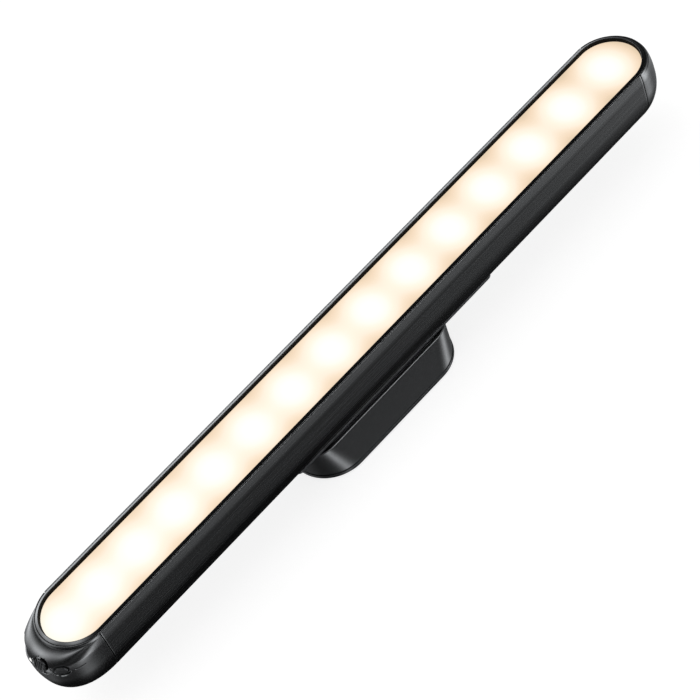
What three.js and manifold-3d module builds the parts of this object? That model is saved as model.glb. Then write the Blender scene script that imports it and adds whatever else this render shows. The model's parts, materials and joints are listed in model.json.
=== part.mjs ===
// Rechargeable LED light bar on a magnetic stick-on base.
// Millimetres, +Z up, lit face up, long axis along X, control end towards -X.
// Origin: centre of the underside of the base's adhesive pad.
import * as THREE from "three";
import { mergeVertices } from "three/addons/utils/BufferGeometryUtils.js";
import Module from "manifold-3d";

const wasm = await Module();
wasm.setup();

// ---------- driving dimensions ----------
// _R is a radius, _W a half width in y, _T a thickness, _D a depth measured down from FACE_Z
const LAMP_X = 6.3; // lamp centre relative to the base centre
const FACE_Z = 42.0; // reference plane of the lit face
const ARC_X = 149.1; // centre of each rounded end
const SEAM_X = 150.8; // joint between the channel and an end cap
const SEAM_GAP = 0.15; // half of the shut line

const BEZEL_IN = 13.67;
const BEZEL_OUT = 14.95;
const BEZEL_TOP = FACE_Z + 0.8;
const BEZEL_BOTTOM = 39.2;
const POCKET_R = BEZEL_OUT + 0.2; // pocket in channel and caps that takes the bezel
const DIFF_R = 13.42;
const DIFF_TOP = FACE_Z - 0.8;
const DIFF_BOTTOM = 39.6;
const DIFF_EDGE = 0.25; // chamfer of the diffuser's upper edge

const WALL_TOP_D = -0.3;
const WALL_TOP_W = 15.6;
const BODY_W = 16.2;
const SHOULDER_D = 4.5;
const WALL_D = 11.5; // where the side walls start to curve in
const BODY_D = 24.6;
const CORNER_W = 7.2; // how far the lower corner curves in

const COLLAR_R = 16.0; // raised collar around the bezel at the ends
const COLLAR_D = 0.9;
// End domes: how far they stand past the collar, the depth over which they
// swell, and the superellipse exponent of their plan
const NOSE = { bulge: 7.1, depth: 5.8, fullness: 2.42 }; // control cap
const TAIL = { bulge: 1.7, depth: 12, fullness: 2.1 }; // plain cap

const BOARD_Z = 37.6; // underside of the LED strip board
const BOARD_T = 0.8;

const PLATE_BOTTOM = 15.95; // steel back plate
const PLATE_TOP = 17.15;
const PLATE_SCREW_XS = [-46, 46];
const PLATE_HOLE_R = 1.35;

// ---------- outlines ----------
const point = (x, y) => new THREE.Vector2(x, y);
const shifted = (outline, dx, dy) => outline.map((v) => point(v.x + dx, v.y + dy));

// Two half circles centred at +-centreX, joined by straights
function stadium(centreX, radius, segments = 18) {
  const points = [];
  for (const side of [1, -1])
    for (let i = 0; i <= segments; i++) {
      const angle = (-side * Math.PI) / 2 + (Math.PI * i) / segments;
      points.push(point(side * centreX + radius * Math.cos(angle), radius * Math.sin(angle)));
    }
  return points;
}

function roundRect(halfX, halfY, radius, segments = 8) {
  const points = [];
  for (const [signX, signY, start] of [[1, 1, 0], [-1, 1, 90], [-1, -1, 180], [1, -1, 270]])
    for (let i = 0; i <= segments; i++) {
      const angle = ((start + (90 * i) / segments) * Math.PI) / 180;
      points.push(point(
        signX * (halfX - radius) + radius * Math.cos(angle),
        signY * (halfY - radius) + radius * Math.sin(angle),
      ));
    }
  return points;
}

function circle(radius, segments, centreX = 0, centreY = 0) {
  const points = [];
  for (let i = 0; i < segments; i++) {
    const angle = (2 * Math.PI * i) / segments;
    points.push(point(centreX + radius * Math.cos(angle), centreY + radius * Math.sin(angle)));
  }
  return points;
}

// ---------- solids ----------
function prism(outline, z0, z1, holes = []) {
  const shape = new THREE.Shape(outline);
  for (const hole of holes) shape.holes.push(new THREE.Path(hole));
  const options = { depth: z1 - z0, bevelEnabled: false, steps: 1 };
  return new THREE.ExtrudeGeometry(shape, options).translate(0, 0, z0);
}

// Turns a solid so that its x, y, z become y, z, x
const alongX = (shape) =>
  shape.applyMatrix4(new THREE.Matrix4().set(0, 0, 1, 0, 1, 0, 0, 0, 0, 1, 0, 0, 0, 0, 0, 1));

// Outline drawn in (y, z), swept along x
const bar = (outline, x0, x1) => alongX(prism(outline, x0, x1));

// Skin over [outline, z] rings from bottom to top, equal counts, anticlockwise
function loft(rings) {
  const count = rings[0][0].length;
  const positions = rings.flatMap(([outline, z]) => outline.flatMap((v) => [v.x, v.y, z]));
  const index = [];
  for (let k = 0; k + 1 < rings.length; k++)
    for (let i = 0; i < count; i++) {
      const here = k * count + i;
      const next = k * count + ((i + 1) % count);
      index.push(here, next, next + count, here, next + count, here + count);
    }
  const last = rings.length - 1;
  const top = last * count;
  for (const [i, j, k] of THREE.ShapeUtils.triangulateShape(rings[0][0], []))
    index.push(i, k, j);
  for (const [i, j, k] of THREE.ShapeUtils.triangulateShape(rings[last][0], []))
    index.push(top + i, top + j, top + k);
  const skin = new THREE.BufferGeometry();
  skin.setAttribute("position", new THREE.BufferAttribute(new Float32Array(positions), 3));
  skin.setIndex(index);
  return skin;
}

// [radius, z] profile turned about z
const lathe = (profile, segments) =>
  new THREE.LatheGeometry(profile.map(([r, z]) => point(r, z)), segments).rotateX(Math.PI / 2);

function solid(source) {
  const bare = source.clone();
  bare.deleteAttribute("normal");
  bare.deleteAttribute("uv");
  const merged = mergeVertices(bare, 1e-4);
  return new wasm.Manifold(
    new wasm.Mesh({
      numProp: 3,
      vertProperties: new Float32Array(merged.attributes.position.array),
      triVerts: new Uint32Array(merged.index.array),
    }),
  );
}

function geometry(manifold) {
  const mesh = manifold.getMesh();
  const result = new THREE.BufferGeometry();
  const positions = Float32Array.from(mesh.vertProperties);
  result.setAttribute("position", new THREE.BufferAttribute(positions, 3));
  result.setIndex(new THREE.BufferAttribute(Uint32Array.from(mesh.triVerts), 1));
  result.computeVertexNormals();
  return result;
}

const subtractAll = (body, tools) => tools.reduce((rest, tool) => rest.subtract(solid(tool)), body);
const cut = (body, ...tools) => geometry(subtractAll(solid(body), tools));
const join = (body, ...others) =>
  geometry(others.reduce((sum, other) => sum.add(solid(other)), solid(body)));

// Screw with its head down, and a cross slot cut into the head
function crossScrew(profile, slotHalfLength, slotHalfWidth, slotDepth) {
  const slot = (halfX, halfY) => prism(roundRect(halfX, halfY, 0.05, 1), -1, slotDepth);
  return cut(
    lathe(profile, 12),
    slot(slotHalfLength, slotHalfWidth),
    slot(slotHalfWidth, slotHalfLength),
  );
}

// ---------- finishes ----------
const finish = (properties) => new THREE.MeshStandardMaterial(properties);
const finishes = {
  housing: finish({ color: 0x1f2123, roughness: 0.38, metalness: 0.7 }),
  cap: finish({ color: 0x1b1c1d, roughness: 0.42 }),
  bezel: finish({ color: 0x0a0a0b, roughness: 0.2 }),
  diffuser: finish({ color: 0xfff0dc, roughness: 0.5, emissive: 0xffe6c8 }),
  reflector: finish({ color: 0xf2f0ea, roughness: 0.5 }),
  board: finish({ color: 0xf4f4f0, roughness: 0.45 }),
  led: finish({ color: 0xf6d36a, roughness: 0.4 }),
  pcb: finish({ color: 0x1f5a36, roughness: 0.45 }),
  steel: finish({ color: 0xb9bcc0, roughness: 0.35, metalness: 1 }),
  black: finish({ color: 0x121213, roughness: 0.5 }),
  knob: finish({ color: 0x2b2c2e, roughness: 0.45 }),
  clear: finish({ color: 0xdfe8e4, roughness: 0.15 }),
  cell: finish({ color: 0x2f6f9f, roughness: 0.4 }),
  nickel: finish({ color: 0xc8c6bd, roughness: 0.3, metalness: 1 }),
  redWire: finish({ color: 0xa01818, roughness: 0.5 }),
  blackWire: finish({ color: 0x141414, roughness: 0.5 }),
  backPlate: finish({ color: 0x17181a, roughness: 0.45, metalness: 0.8 }),
  base: finish({ color: 0x242628, roughness: 0.36 }),
  rubber: finish({ color: 0x101011, roughness: 0.85 }),
  magnet: finish({ color: 0xaeb1b5, roughness: 0.25, metalness: 1 }),
  foam: finish({ color: 0x2a2a2a, roughness: 0.9 }),
};

const root = new THREE.Group();
const lamp = new THREE.Group();
lamp.position.x = LAMP_X;
root.add(lamp);

function put(parent, name, shape, material, position = [0, 0, 0]) {
  const mesh = new THREE.Mesh(shape, material);
  mesh.name = name;
  mesh.position.set(...position);
  parent.add(mesh);
}

// ---------- lamp body section ----------
// Half width of the lamp body at a depth
function widthAt(depth) {
  if (depth < SHOULDER_D) {
    const rise = (depth - WALL_TOP_D) / (SHOULDER_D - WALL_TOP_D);
    return WALL_TOP_W + (BODY_W - WALL_TOP_W) * Math.sin((Math.PI / 2) * rise);
  }
  if (depth <= WALL_D) return BODY_W;
  const angle = Math.asin(Math.min(1, (depth - WALL_D) / (BODY_D - WALL_D)));
  return BODY_W - CORNER_W * (1 - Math.cos(angle));
}
const lowerDepths = [];
for (let i = 1; i <= 8; i++)
  lowerDepths.push(WALL_D + (BODY_D - WALL_D) * Math.sin((Math.PI / 2) * (i / 8)));

// Open-topped extrusion with ledges inside for the bezel and reflector
function addChannel() {
  const INNER_W = 14.4;
  const INNER_CORNER_W = 6.4;
  const INNER_CORNER_D = 11.5;
  const LEDGE_W = 13.65;
  const outer = [[POCKET_R, FACE_Z - WALL_TOP_D]]; // [half width, z], downwards
  for (const depth of [WALL_TOP_D, 0.3, 1.4, 2.8, SHOULDER_D, WALL_D, ...lowerDepths])
    outer.push([widthAt(depth), FACE_Z - depth]);
  const inner = [
    [POCKET_R, 39.0],
    [LEDGE_W, 39.0],
    [LEDGE_W, 36.0],
    [INNER_W, 35.2],
    [INNER_W, FACE_Z - WALL_D],
  ];
  for (let i = 1; i <= 6; i++) {
    const angle = (Math.PI / 2) * (i / 6);
    inner.push([
      INNER_W - INNER_CORNER_W * (1 - Math.cos(angle)),
      FACE_Z - (WALL_D + INNER_CORNER_D * Math.sin(angle)),
    ]);
  }
  const side = (half, sign) => half.map(([y, z]) => point(sign * y, z));
  const section = [
    ...side(outer, 1),
    ...side(outer, -1).reverse(),
    ...side(inner, -1),
    ...side(inner, 1).reverse(),
  ].reverse();
  const holes = PLATE_SCREW_XS.map((x) => prism(circle(PLATE_HOLE_R, 12, x), 17, 20));
  const channel = bar(section, -SEAM_X + SEAM_GAP, SEAM_X - SEAM_GAP);
  put(lamp, "channel_housing", cut(channel, ...holes), finishes.housing);
}

// Ring with a low crown at the inner edge, falling away outwards
function addBezel() {
  // outer radius, inner radius, z
  const rows = [
    [BEZEL_OUT, BEZEL_IN, BEZEL_BOTTOM],
    [BEZEL_OUT, BEZEL_IN, BEZEL_TOP - 0.5],
    [BEZEL_OUT - 0.75, BEZEL_IN + 0.06, BEZEL_TOP - 0.1],
    [BEZEL_OUT - 0.98, BEZEL_IN + 0.2, BEZEL_TOP],
  ];
  const outer = loft(rows.map(([radius, , z]) => [stadium(ARC_X, radius), z]));
  const hole = loft([
    [stadium(ARC_X, BEZEL_IN), BEZEL_BOTTOM - 1],
    ...rows.slice(1).map(([, radius, z]) => [stadium(ARC_X, radius), z]),
    [stadium(ARC_X, BEZEL_IN + 0.6), BEZEL_TOP + 1],
  ]);
  put(lamp, "face_bezel", cut(outer, hole), finishes.bezel);
}

// Plate with a softened upper edge
function addDiffuser() {
  const plate = loft([
    [stadium(ARC_X, DIFF_R), DIFF_BOTTOM],
    [stadium(ARC_X, DIFF_R), DIFF_TOP - DIFF_EDGE],
    [stadium(ARC_X, DIFF_R - DIFF_EDGE), DIFF_TOP],
  ]);
  put(lamp, "diffuser_lens", plate, finishes.diffuser);
}

// Frame under the diffuser, with a ledge for the strip board
function addReflector() {
  const FRAME_R = 13.3;
  const UPPER_R = 12.3;
  const LOWER_R = 9.7;
  const layer = (radius, z0, z1) => prism(stadium(ARC_X, radius, 14), z0, z1);
  const frame = cut(
    layer(FRAME_R, 36.6, DIFF_BOTTOM),
    layer(UPPER_R, BOARD_Z, 41),
    layer(LOWER_R, 36, 38.5),
  );
  put(lamp, "reflector_frame", frame, finishes.reflector);
}

function addLedStrip() {
  const STRIP_W = 12.0;
  const LED_COUNT = 15;
  const top = BOARD_Z + BOARD_T;
  const strip = prism(stadium(ARC_X, STRIP_W, 10), BOARD_Z, top);
  put(lamp, "led_strip_board", strip, finishes.board);
  for (let i = 0; i < LED_COUNT; i++) {
    // The pitch opens slightly towards the plain end; u runs from -1 to 1
    const u = (2 * i) / (LED_COUNT - 1) - 1;
    const x = -13.7 + 153 * u + 9.8 * u * u - 1.2 * u * u * u;
    const pack = prism(roundRect(1.75, 1.4, 0.2, 1), top, top + 0.8);
    const cup = loft([
      [circle(0.95, 8), top + 0.45],
      [circle(1.3, 8), top + 1.2],
    ]);
    const name = `led_${String(i + 1).padStart(2, "0")}`;
    put(lamp, name, cut(pack, cup), finishes.led, [x, 0, 0]);
  }
}

// ---------- end caps ----------
const CAP_WALL_W = 1.9; // wall thickness taken off the half width
const CAP_WALL_X = 2.2; // and off the reach
const CAP_DEPTHS = [
  WALL_TOP_D, 0.1, COLLAR_D, 1.0, 1.3, 1.9, 2.8, 4.0, 5.6, 7.5, 9.5, WALL_D, ...lowerDepths,
];
const CAVITY_DEPTHS = [3.0, 4.2, 6.0, 8.5, 12.5, 16.5, 19.5, 21.6, 22.7];

// Superellipse cut off square at x = seam; sign is the end of the lamp it is on
function capOutline({
  halfWidth, reach, fullness, sign, seam = SEAM_X + SEAM_GAP, segments = 22,
}) {
  const start = Math.acos(Math.pow((seam - ARC_X) / reach, fullness / 2));
  const points = [];
  for (let i = 0; i <= segments; i++) {
    const angle = -start + (2 * start * i) / segments;
    const across = Math.sin(angle);
    const x = reach * Math.pow(Math.cos(angle), 2 / fullness);
    const y = halfWidth * (Math.sign(across) * Math.pow(Math.abs(across), 2 / fullness));
    points.push(point(sign * (ARC_X + x), y));
  }
  return sign > 0 ? points : points.reverse();
}

// Distance from the arc centre to the cap's tip at a depth
function reachAt(depth, dome) {
  if (depth <= WALL_TOP_D) return COLLAR_R - 0.65;
  if (depth <= COLLAR_D) return COLLAR_R;
  const t = Math.min(1, (depth - COLLAR_D) / dome.depth);
  const full = COLLAR_R + 0.2 + dome.bulge * Math.sqrt(1 - (1 - t) * (1 - t));
  return depth > WALL_D ? full * (widthAt(depth) / BODY_W) : full;
}

// Superellipse exponent, from a true ellipse at the collar to the dome's own
function fullnessAt(depth, dome) {
  const t = Math.min(1, Math.max(0, (depth - COLLAR_D) / (0.5 * dome.depth)));
  return 2 + (dome.fullness - 2) * t;
}

function capShell(sign, dome) {
  const skin = (depths, wallW, wallX, extent) =>
    solid(loft(depths.map((depth) => {
      const outline = capOutline({
        halfWidth: widthAt(depth) - wallW,
        reach: reachAt(depth, dome) - wallX,
        fullness: fullnessAt(depth, dome),
        sign,
        ...extent,
      });
      return [outline, FACE_Z - depth];
    }).reverse()));
  const cavityExtent = { seam: SEAM_X - 1.2, segments: 14 };
  const pocket = prism(stadium(ARC_X, POCKET_R), FACE_Z - 3.1, FACE_Z + 3);
  return skin(CAP_DEPTHS, 0, 0, {})
    .subtract(skin(CAVITY_DEPTHS, CAP_WALL_W, CAP_WALL_X, cavityExtent))
    .subtract(solid(pocket));
}

// ---------- control stations ----------
// Frame on the control cap's outer wall, its local +X the outward normal.
// A turn in degrees from straight out replaces the normal's own direction.
function station(y, depth, turn = null) {
  const reach = reachAt(depth, NOSE);
  const halfWidth = widthAt(depth);
  const n = fullnessAt(depth, NOSE);
  const k = Math.abs(y) / halfWidth;
  const x = reach * Math.pow(1 - Math.pow(k, n), 1 / n);
  const normalX = Math.pow(x / reach, n - 1) / reach;
  const normalY = Math.pow(k, n - 1) / halfWidth;
  const angle = turn === null
    ? Math.atan2(Math.sign(y) * normalY, -normalX)
    : Math.PI - (turn * Math.PI) / 180;
  return new THREE.Matrix4().makeRotationZ(angle).setPosition(-(ARC_X + x), y, FACE_Z - depth);
}

const ROW_D = 5.2; // depth of the port and light pipe
const USB_TURN = 20;
const SLIDER_TILT = 22; // degrees the slider's face leans back with the dome
const usbStation = station(8.6, ROW_D, USB_TURN);
const pipeStation = station(2.5, ROW_D);
const sliderStation = station(-3.0, 4.8);
const buttonStation = station(-10.6, 5.9);
const sliderLean = new THREE.Matrix4().makeRotationY((-SLIDER_TILT * Math.PI) / 180);
const sliderFace = sliderStation.clone().multiply(sliderLean);

// Outlines across the local x axis: half width, half height, corner radius, segments
const outlines = {
  usbOpening: roundRect(4.75, 1.9, 1.85, 5),
  usbShell: roundRect(4.45, 1.6, 1.5, 5),
  usbBore: roundRect(4.15, 1.3, 1.2, 5),
  usbTongue: roundRect(3.3, 0.35, 0.2, 1),
  indicator: roundRect(0.5, 0.85, 0.15, 1),
  sliderRecess: roundRect(3.85, 3.2, 3.1, 6),
  sliderSlot: roundRect(2.5, 1.2, 0.5, 2),
  sliderKnob: roundRect(2.0, 2.5, 1.85, 5),
  sliderStem: roundRect(0.55, 0.5, 0.15, 1),
  switchBody: shifted(roundRect(2.25, 1.7, 0.3, 1), 0, -0.5),
  switchWindow: roundRect(1.85, 0.75, 0.2, 1),
  buttonRecess: roundRect(3.2, 2.6, 2.5, 5),
  buttonOpening: roundRect(2.6, 2.05, 1.9, 4),
  button: roundRect(2.35, 1.8, 1.7, 4),
  buttonTop: roundRect(2.0, 1.45, 1.38, 4),
  buttonFlange: roundRect(2.8, 1.6, 0.4, 2),
  tactBody: roundRect(1.3, 1.2, 0.3, 1),
  lineMark: roundRect(2.0, 0.16, 0.1, 1),
};

function addControlCap() {
  // Dot marks in pairs either side of the slider: y, depth
  const DOTS = [[1.4, 3.6], [1.4, 6.8], [-7.5, 4.3], [-7.5, 7.5]];
  // station, outline, and local x range of each cutter; negative x is into the cap
  const cutters = [
    [usbStation, outlines.usbOpening, -9, 4],
    [pipeStation, circle(0.9, 12), -6, 3],
    [sliderFace, outlines.sliderRecess, -1.5, 3],
    [sliderStation, outlines.sliderSlot, -6, 0.2],
    [buttonStation, outlines.buttonRecess, -1.0, 4],
    [buttonStation, outlines.buttonOpening, -7, 0],
    ...DOTS.map(([y, depth]) => [station(y, depth), circle(0.34, 8), -0.5, 2]),
    [station(-14.2, 6.9), outlines.lineMark, -0.55, 2], // short line beside the button
  ];
  const tools = cutters.map(([frame, outline, x0, x1]) => bar(outline, x0, x1).applyMatrix4(frame));
  const cap = subtractAll(capShell(-1, NOSE), tools);
  put(lamp, "control_end_cap", geometry(cap), finishes.cap);
}

function addPlainCap() {
  put(lamp, "plain_end_cap", geometry(capShell(1, TAIL)), finishes.cap);
}

// ---------- control electronics ----------
// Board lying flat in the control cap
function addControlBoard() {
  const PCB_TOP = 34.85;
  const PCB_T = 1.0;
  const tip = capOutline({
    halfWidth: 12.6, reach: 17.0, fullness: 2.2, sign: -1, seam: 150.2, segments: 12,
  });
  const body = shifted(roundRect(6.2, 10.5, 0.8, 2), -146.2, 0);
  const layer = (outline) => prism(outline, PCB_TOP - PCB_T, PCB_TOP);
  put(lamp, "control_board", join(layer(tip), layer(body)), finishes.pcb);
}

function groupAt(frame) {
  const group = new THREE.Group();
  group.applyMatrix4(frame);
  lamp.add(group);
  return group;
}

function addUsbPort() {
  const group = groupAt(usbStation);
  const shell = cut(bar(outlines.usbShell, -8.8, -3.2), bar(outlines.usbBore, -8.0, 1));
  put(group, "usb_port_shell", shell, finishes.steel);
  put(group, "usb_port_tongue", bar(outlines.usbTongue, -7.8, -3.9), finishes.black);
}

function addIndicator() {
  const group = groupAt(pipeStation);
  const profile = [[0, -2.4], [0.8, -2.4], [0.8, -0.25], [0.55, 0.0], [0, 0.05]];
  const pipe = lathe(profile, 14).rotateY(Math.PI / 2);
  put(group, "indicator_light_pipe", pipe, finishes.clear);
  const source = bar(outlines.indicator, -3.6, -2.65);
  put(group, "indicator_led", source, finishes.led, [0, 0, -0.95]);
}

// Fixed switch body behind the wall, ribbed knob through it
function addSlider() {
  const RIBS = [[-1.35, 1.6], [-0.45, 2.15], [0.45, 2.15], [1.35, 1.6]]; // y, half height
  const group = groupAt(sliderStation);
  const body = cut(bar(outlines.switchBody, -6.0, -3.3), bar(outlines.switchWindow, -5.6, -3));
  put(group, "slide_switch_body", body, finishes.steel);
  const leaning = (outline, x0, x1) => bar(outline, x0, x1).applyMatrix4(sliderLean);
  const knob = join(
    leaning(outlines.sliderKnob, -1.15, -0.3),
    bar(outlines.sliderStem, -5.2, -0.8),
    ...RIBS.map(([y, halfHeight]) =>
      leaning(shifted(roundRect(0.25, halfHeight, 0.2, 2), y, 0), -0.6, 0.15)),
  );
  put(group, "mode_slider", knob, finishes.knob);
}

function addButton() {
  const group = groupAt(buttonStation);
  const cap = alongX(loft([
    [outlines.button, -3.7],
    [outlines.button, -0.25],
    [outlines.buttonTop, 0.02],
  ]));
  put(group, "power_button", join(cap, bar(outlines.buttonFlange, -4.2, -3.6)), finishes.knob);
  const tact = join(bar(outlines.tactBody, -6.85, -5.45), bar(circle(0.65, 10), -5.55, -4.8));
  put(group, "tact_switch", tact, finishes.black);
}

// ---------- battery ----------
const CELL_R = 9.1;
const CELL_L = 65;
const CELL_X = -36.5; // negative end of the cell
const CELL_Z = 28.2;
const TAB_T = 0.4;
const TAB_GAP = 0.2;
const RED_PATH = [
  [30.2, 1.5, 33.2], [33.0, 6, 33.2], [29, 12.0, 32.8], [20, 12.9, 32.6],
  [-60, 12.9, 32.6], [-130, 12.6, 31.6], [-146, 9.5, 30.4], [-150, 8.0, 32.7],
]; // x, y, z
const BLACK_PATH = [
  [-38.2, -1.5, 33.2], [-41.0, -6, 33.2], [-46, -11.5, 32.8], [-56, -12.9, 32.6],
  [-100, -12.9, 32.6], [-130, -12.6, 31.6], [-146, -9.5, 30.4], [-150, -8.0, 32.7],
];

function wire(path) {
  const corners = path.map((corner) => new THREE.Vector3(...corner));
  const extrudePath = new THREE.CatmullRomCurve3(corners, false, "centripetal");
  const options = { steps: 26, bevelEnabled: false, extrudePath };
  return new THREE.ExtrudeGeometry(new THREE.Shape(circle(0.75, 6)), options);
}

function addBattery() {
  const TERMINAL_R = 3.2;
  const profile = [
    [0, 0], [CELL_R - 0.5, 0], [CELL_R, 0.5], [CELL_R, CELL_L - 1.6], [CELL_R - 0.6, CELL_L - 1],
    [TERMINAL_R, CELL_L - 1], [TERMINAL_R, CELL_L], [0, CELL_L],
  ];
  const cell = lathe(profile, 22).rotateY(Math.PI / 2);
  put(lamp, "battery_cell", cell, finishes.cell, [CELL_X, 0, CELL_Z]);
  for (const [end, x] of [
    ["negative", CELL_X - TAB_GAP - TAB_T],
    ["positive", CELL_X + CELL_L + TAB_GAP],
  ]) {
    const tab = bar(roundRect(3.4, 5.6, 1.2, 2), 0, TAB_T);
    put(lamp, `battery_tab_${end}`, tab, finishes.nickel, [x, 0, CELL_Z + 1.2]);
  }
  put(lamp, "battery_wire_red", wire(RED_PATH), finishes.redWire);
  put(lamp, "battery_wire_black", wire(BLACK_PATH), finishes.blackWire);
}

// ---------- steel back plate on the underside of the lamp ----------
function addBackPlate() {
  const PLATE_L = 55.7; // half length
  const PLATE_X = 2.2; // its centre, towards the plain end
  const PLATE_W = 11.4;
  const EDGE = 0.2; // chamfer of the lower edge
  const outline = (inset) => roundRect(PLATE_L - inset, PLATE_W - inset, 2.5 - inset, 6);
  const plate = loft([
    [outline(EDGE), PLATE_BOTTOM],
    [outline(0), PLATE_BOTTOM + EDGE],
    [outline(0), PLATE_TOP],
  ]).translate(PLATE_X, 0, 0);
  const sinks = PLATE_SCREW_XS.flatMap((x) => [
    prism(circle(PLATE_HOLE_R, 12, x), 15, 18),
    loft([
      [circle(2.75, 12, x), PLATE_BOTTOM - 0.3],
      [circle(1.3, 12, x), PLATE_BOTTOM + 1.15],
    ]),
  ]);
  put(lamp, "steel_back_plate", cut(plate, ...sinks), finishes.backPlate);
  const profile = [[0, 0], [2.2, 0], [1.05, 1.1], [1.05, 3.6], [0.5, 4.2], [0, 4.2]];
  PLATE_SCREW_XS.forEach((x, i) => {
    const screw = crossScrew(profile, 1.3, 0.28, 0.45);
    put(lamp, `back_plate_screw_${i + 1}`, screw, finishes.steel, [x, 0, PLATE_BOTTOM + 0.02]);
  });
}

// ---------- magnetic base ----------
const BASE_TOP = 15.4;
const SHELL_BOTTOM = 2.3;
const PAD_T = 0.6;
const SWIVEL_R = 10.0; // swivel magnet
const SWIVEL_HOLE_R = SWIVEL_R + 0.3;
const BOSSES = [-6.5, 6.5].flatMap((y) => [-32.5, 32.5].map((x) => [x, y]));

// [outline, z] of the tapering shell: narrower and slightly longer towards the top
function shellRing(z, inset = 0) {
  const t = (z - SHELL_BOTTOM) / (BASE_TOP - SHELL_BOTTOM);
  const between = (bottom, top) => bottom + (top - bottom) * t - inset;
  return [roundRect(between(39.7, 40.15), between(16.3, 12.7), between(16.0, 10.6)), z];
}

function addBaseShell() {
  const outer = loft([
    shellRing(SHELL_BOTTOM, 0.15),
    shellRing(SHELL_BOTTOM + 0.15),
    shellRing(8),
    shellRing(BASE_TOP - 0.6),
    shellRing(BASE_TOP - 0.15, 0.15),
    shellRing(BASE_TOP, 0.55),
  ]);
  const floor = shellRing(SHELL_BOTTOM, 1.8);
  const inner = loft([[floor[0], SHELL_BOTTOM - 1], floor, shellRing(13.9, 1.9)]);
  let shell = solid(outer).subtract(solid(inner));
  for (const [x, y] of BOSSES)
    shell = shell
      .add(solid(prism(circle(2.6, 12, x, y), SHELL_BOTTOM + 0.2, 14.2)))
      .subtract(solid(prism(circle(1.15, 10, x, y), 1, 11)));
  shell = shell.subtract(solid(prism(circle(SWIVEL_HOLE_R, 28), 12, 17)));
  put(root, "base_shell", geometry(shell), finishes.base);
}

function addBottomPlate() {
  const rim = roundRect(39.95, 16.6, 16.4);
  const plate = loft([[roundRect(39.7, 16.35, 16.1), PAD_T], [rim, PAD_T + 0.25], [rim, 2.1]]);
  const holes = BOSSES.flatMap(([x, y]) => [
    prism(circle(1.35, 10, x, y), 0, 3),
    prism(circle(2.5, 12, x, y), 0, 1.35),
  ]);
  put(root, "base_bottom_plate", cut(plate, ...holes), finishes.base);
}

function addBaseScrews() {
  const profile = [
    [0, 0], [2.1, 0], [2.1, 0.5], [0.95, 0.52], [0.95, 6.4], [0.4, 7.4], [0, 7.4],
  ];
  BOSSES.forEach(([x, y], i) => {
    const screw = crossScrew(profile, 1.2, 0.25, 0.28);
    put(root, `base_screw_${i + 1}`, screw, finishes.steel, [x, y, 0.78]);
  });
}

function addAdhesivePad() {
  const outline = roundRect(38.6, 15.3, 15.1);
  put(root, "adhesive_pad", loft([[outline, 0], [outline, PAD_T]]), finishes.foam);
}

// Chamfered disc standing on z = 0
const magnet = (r, height, edge, segments) =>
  lathe(
    [[0, 0], [r - edge, 0], [r, edge], [r, height - edge], [r - edge, height], [0, height]],
    segments,
  );

function addMagnets() {
  const keeper = prism(roundRect(27.5, 7.5, 2, 3), 7.8, 8.8);
  put(root, "magnet_keeper", keeper, finishes.steel);
  [-19.5, 19.5].forEach((x, i) => {
    put(root, `side_magnet_${i + 1}`, magnet(6.5, 4.8, 0.3, 20), finishes.magnet, [x, 0, 8.9]);
  });
  put(root, "swivel_magnet", magnet(SWIVEL_R, 6.75, 0.4, 28), finishes.magnet, [0, 0, 9.0]);
}

function addGripPad() {
  const hole = circle(SWIVEL_HOLE_R, 28).reverse();
  const pad = prism(roundRect(36, 11.6, 10, 6), BASE_TOP, BASE_TOP + 0.3, [hole]);
  put(root, "grip_pad", pad, finishes.rubber);
}

// ---------- assembly ----------
addChannel();
addBezel();
addDiffuser();
addReflector();
addLedStrip();
addControlCap();
addPlainCap();
addControlBoard();
addUsbPort();
addIndicator();
addSlider();
addButton();
addBattery();
addBackPlate();
addBaseShell();
addBottomPlate();
addBaseScrews();
addAdhesivePad();
addMagnets();
addGripPad();

export default root;
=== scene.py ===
"""Bar lamp on a small magnetic base.

The lamp lies along X with its lit face up (+Z) and its control cap at the -X end.
The base stands under it, centred on the origin, with its adhesive pad on z = 0.
Sizes are in millimetres and become metres in new_object. Outlines are given by half
lengths and half widths. "Depth" runs down from the reference plane of the lit face.
"""
import json
import math
from collections import namedtuple

import bpy
import numpy as np
from mathutils import Matrix, Vector


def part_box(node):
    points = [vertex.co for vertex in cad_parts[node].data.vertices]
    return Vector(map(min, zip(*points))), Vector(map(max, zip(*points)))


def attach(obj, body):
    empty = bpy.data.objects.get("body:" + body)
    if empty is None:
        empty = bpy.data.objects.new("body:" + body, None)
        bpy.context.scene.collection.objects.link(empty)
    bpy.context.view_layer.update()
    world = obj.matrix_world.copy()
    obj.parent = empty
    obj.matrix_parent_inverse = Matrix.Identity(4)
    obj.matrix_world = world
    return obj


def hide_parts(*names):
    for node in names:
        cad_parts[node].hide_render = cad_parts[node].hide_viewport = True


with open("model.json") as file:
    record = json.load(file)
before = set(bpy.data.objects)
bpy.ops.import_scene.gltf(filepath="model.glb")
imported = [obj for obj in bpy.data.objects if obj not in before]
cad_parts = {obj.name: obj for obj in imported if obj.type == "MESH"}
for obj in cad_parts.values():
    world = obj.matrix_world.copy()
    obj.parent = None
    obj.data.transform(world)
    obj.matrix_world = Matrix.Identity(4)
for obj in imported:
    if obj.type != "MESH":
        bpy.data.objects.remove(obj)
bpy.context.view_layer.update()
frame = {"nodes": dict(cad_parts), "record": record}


# ------------------------------------------------------------------ sizes
def centre_x(name):
    low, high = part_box(name)
    return (low.x + high.x) / 2 * 1000


def bottom_z(name):
    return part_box(name)[0].z * 1000


def top_z(name):
    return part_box(name)[1].z * 1000


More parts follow.
